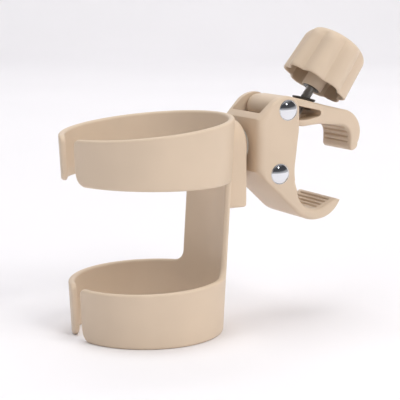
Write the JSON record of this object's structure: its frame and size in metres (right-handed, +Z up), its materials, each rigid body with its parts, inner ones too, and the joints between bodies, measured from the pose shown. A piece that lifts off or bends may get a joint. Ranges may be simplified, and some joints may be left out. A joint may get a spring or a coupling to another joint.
{
  "type": "desk clamp cup holder",
  "caption": "Split tapered rings on a spine hold a cup and hang on a swivelling clamp whose hooked jaw is closed on a desk edge or tube by a fluted screw knob.",
  "frame": {"origin": "on the cup's axis, in the plane of the lower ring's bottom edge", "axes": "+Z up along the cup's axis; +X from the cup to the clamp; +Y completes the right-handed frame; the part is symmetric about the XZ plane"},
  "size_m": [0.1664, 0.0863, 0.149],
  "materials": {
    "frame_plastic": "satin moulded beige plastic",
    "clamp_plastic": "satin moulded beige plastic",
    "jaw_plastic": "satin moulded beige plastic",
    "knob_plastic": "satin moulded beige plastic",
    "grip": "soft matt grip pad, a little greyer than the plastic",
    "nylon": "natural nylon",
    "brass": "turned brass",
    "steel": "zinc-plated steel",
    "dark_steel": "dark oiled steel",
    "chrome": "bright polished chrome"
  },
  "bodies": {
    "clamp": {"clamp_housing": "clamp_plastic", "lower_jaw_pad": "grip", "upper_rivet": "chrome", "upper_rivet_cap": "chrome", "lower_rivet": "chrome", "lower_rivet_cap": "chrome", "friction_washer": "nylon"},
    "swivel": {"mount_button": "clamp_plastic", "swivel_insert": "brass", "swivel_screw": "steel", "swivel_washer": "steel", "wave_washer": "steel"},
    "holder": {"cup_frame": "frame_plastic"},
    "jaw": {"upper_jaw": "jaw_plastic", "upper_jaw_pad": "grip", "jaw_washer": "dark_steel"},
    "bolt": {"eye_bolt": "steel"},
    "ring": {"bearing_ring": "dark_steel"},
    "knob": {"knob": "knob_plastic", "knob_nut": "steel"}
  },
  "joints": [
    {"name": "clamp_swivel", "type": "hinge", "parent": "clamp", "child": "swivel", "pos_m": [0.053, 0, 0.0905], "axis": [1, 0, 0], "continuous": true},
    {"name": "holder_release", "type": "slide", "parent": "swivel", "child": "holder", "axis": [0, 0, 1], "range_m": [0, 0.042]},
    {"name": "jaw_pivot", "type": "hinge", "parent": "clamp", "child": "jaw", "pos_m": [0.0703, 0, 0.1084], "axis": [0, 1, 0], "range_deg": [-4.02, 24.05]},
    {"name": "bolt_swing", "type": "hinge", "parent": "clamp", "child": "bolt", "pos_m": [0.0659, 0, 0.0764], "axis": [0, 1, 0], "range_deg": [-1.28, 7.64]},
    {"name": "knob_advance", "type": "slide", "parent": "bolt", "child": "ring", "axis": [-0.585, 0, -0.8111], "range_m": [-0.00122, 0.00722]},
    {"name": "knob_turn", "type": "hinge", "parent": "ring", "child": "knob", "pos_m": [0.09445, 0, 0.11598], "axis": [-0.585, 0, -0.8111], "range_deg": [-540, 3240]}
  ],
  "couplings": [
    {"joint": "jaw_pivot", "follows": "knob_turn", "ratio": 0.0074074},
    {"joint": "bolt_swing", "follows": "knob_turn", "ratio": 0.0023418},
    {"joint": "knob_advance", "follows": "knob_turn", "m_per_rad": 0.00012732}
  ]
}
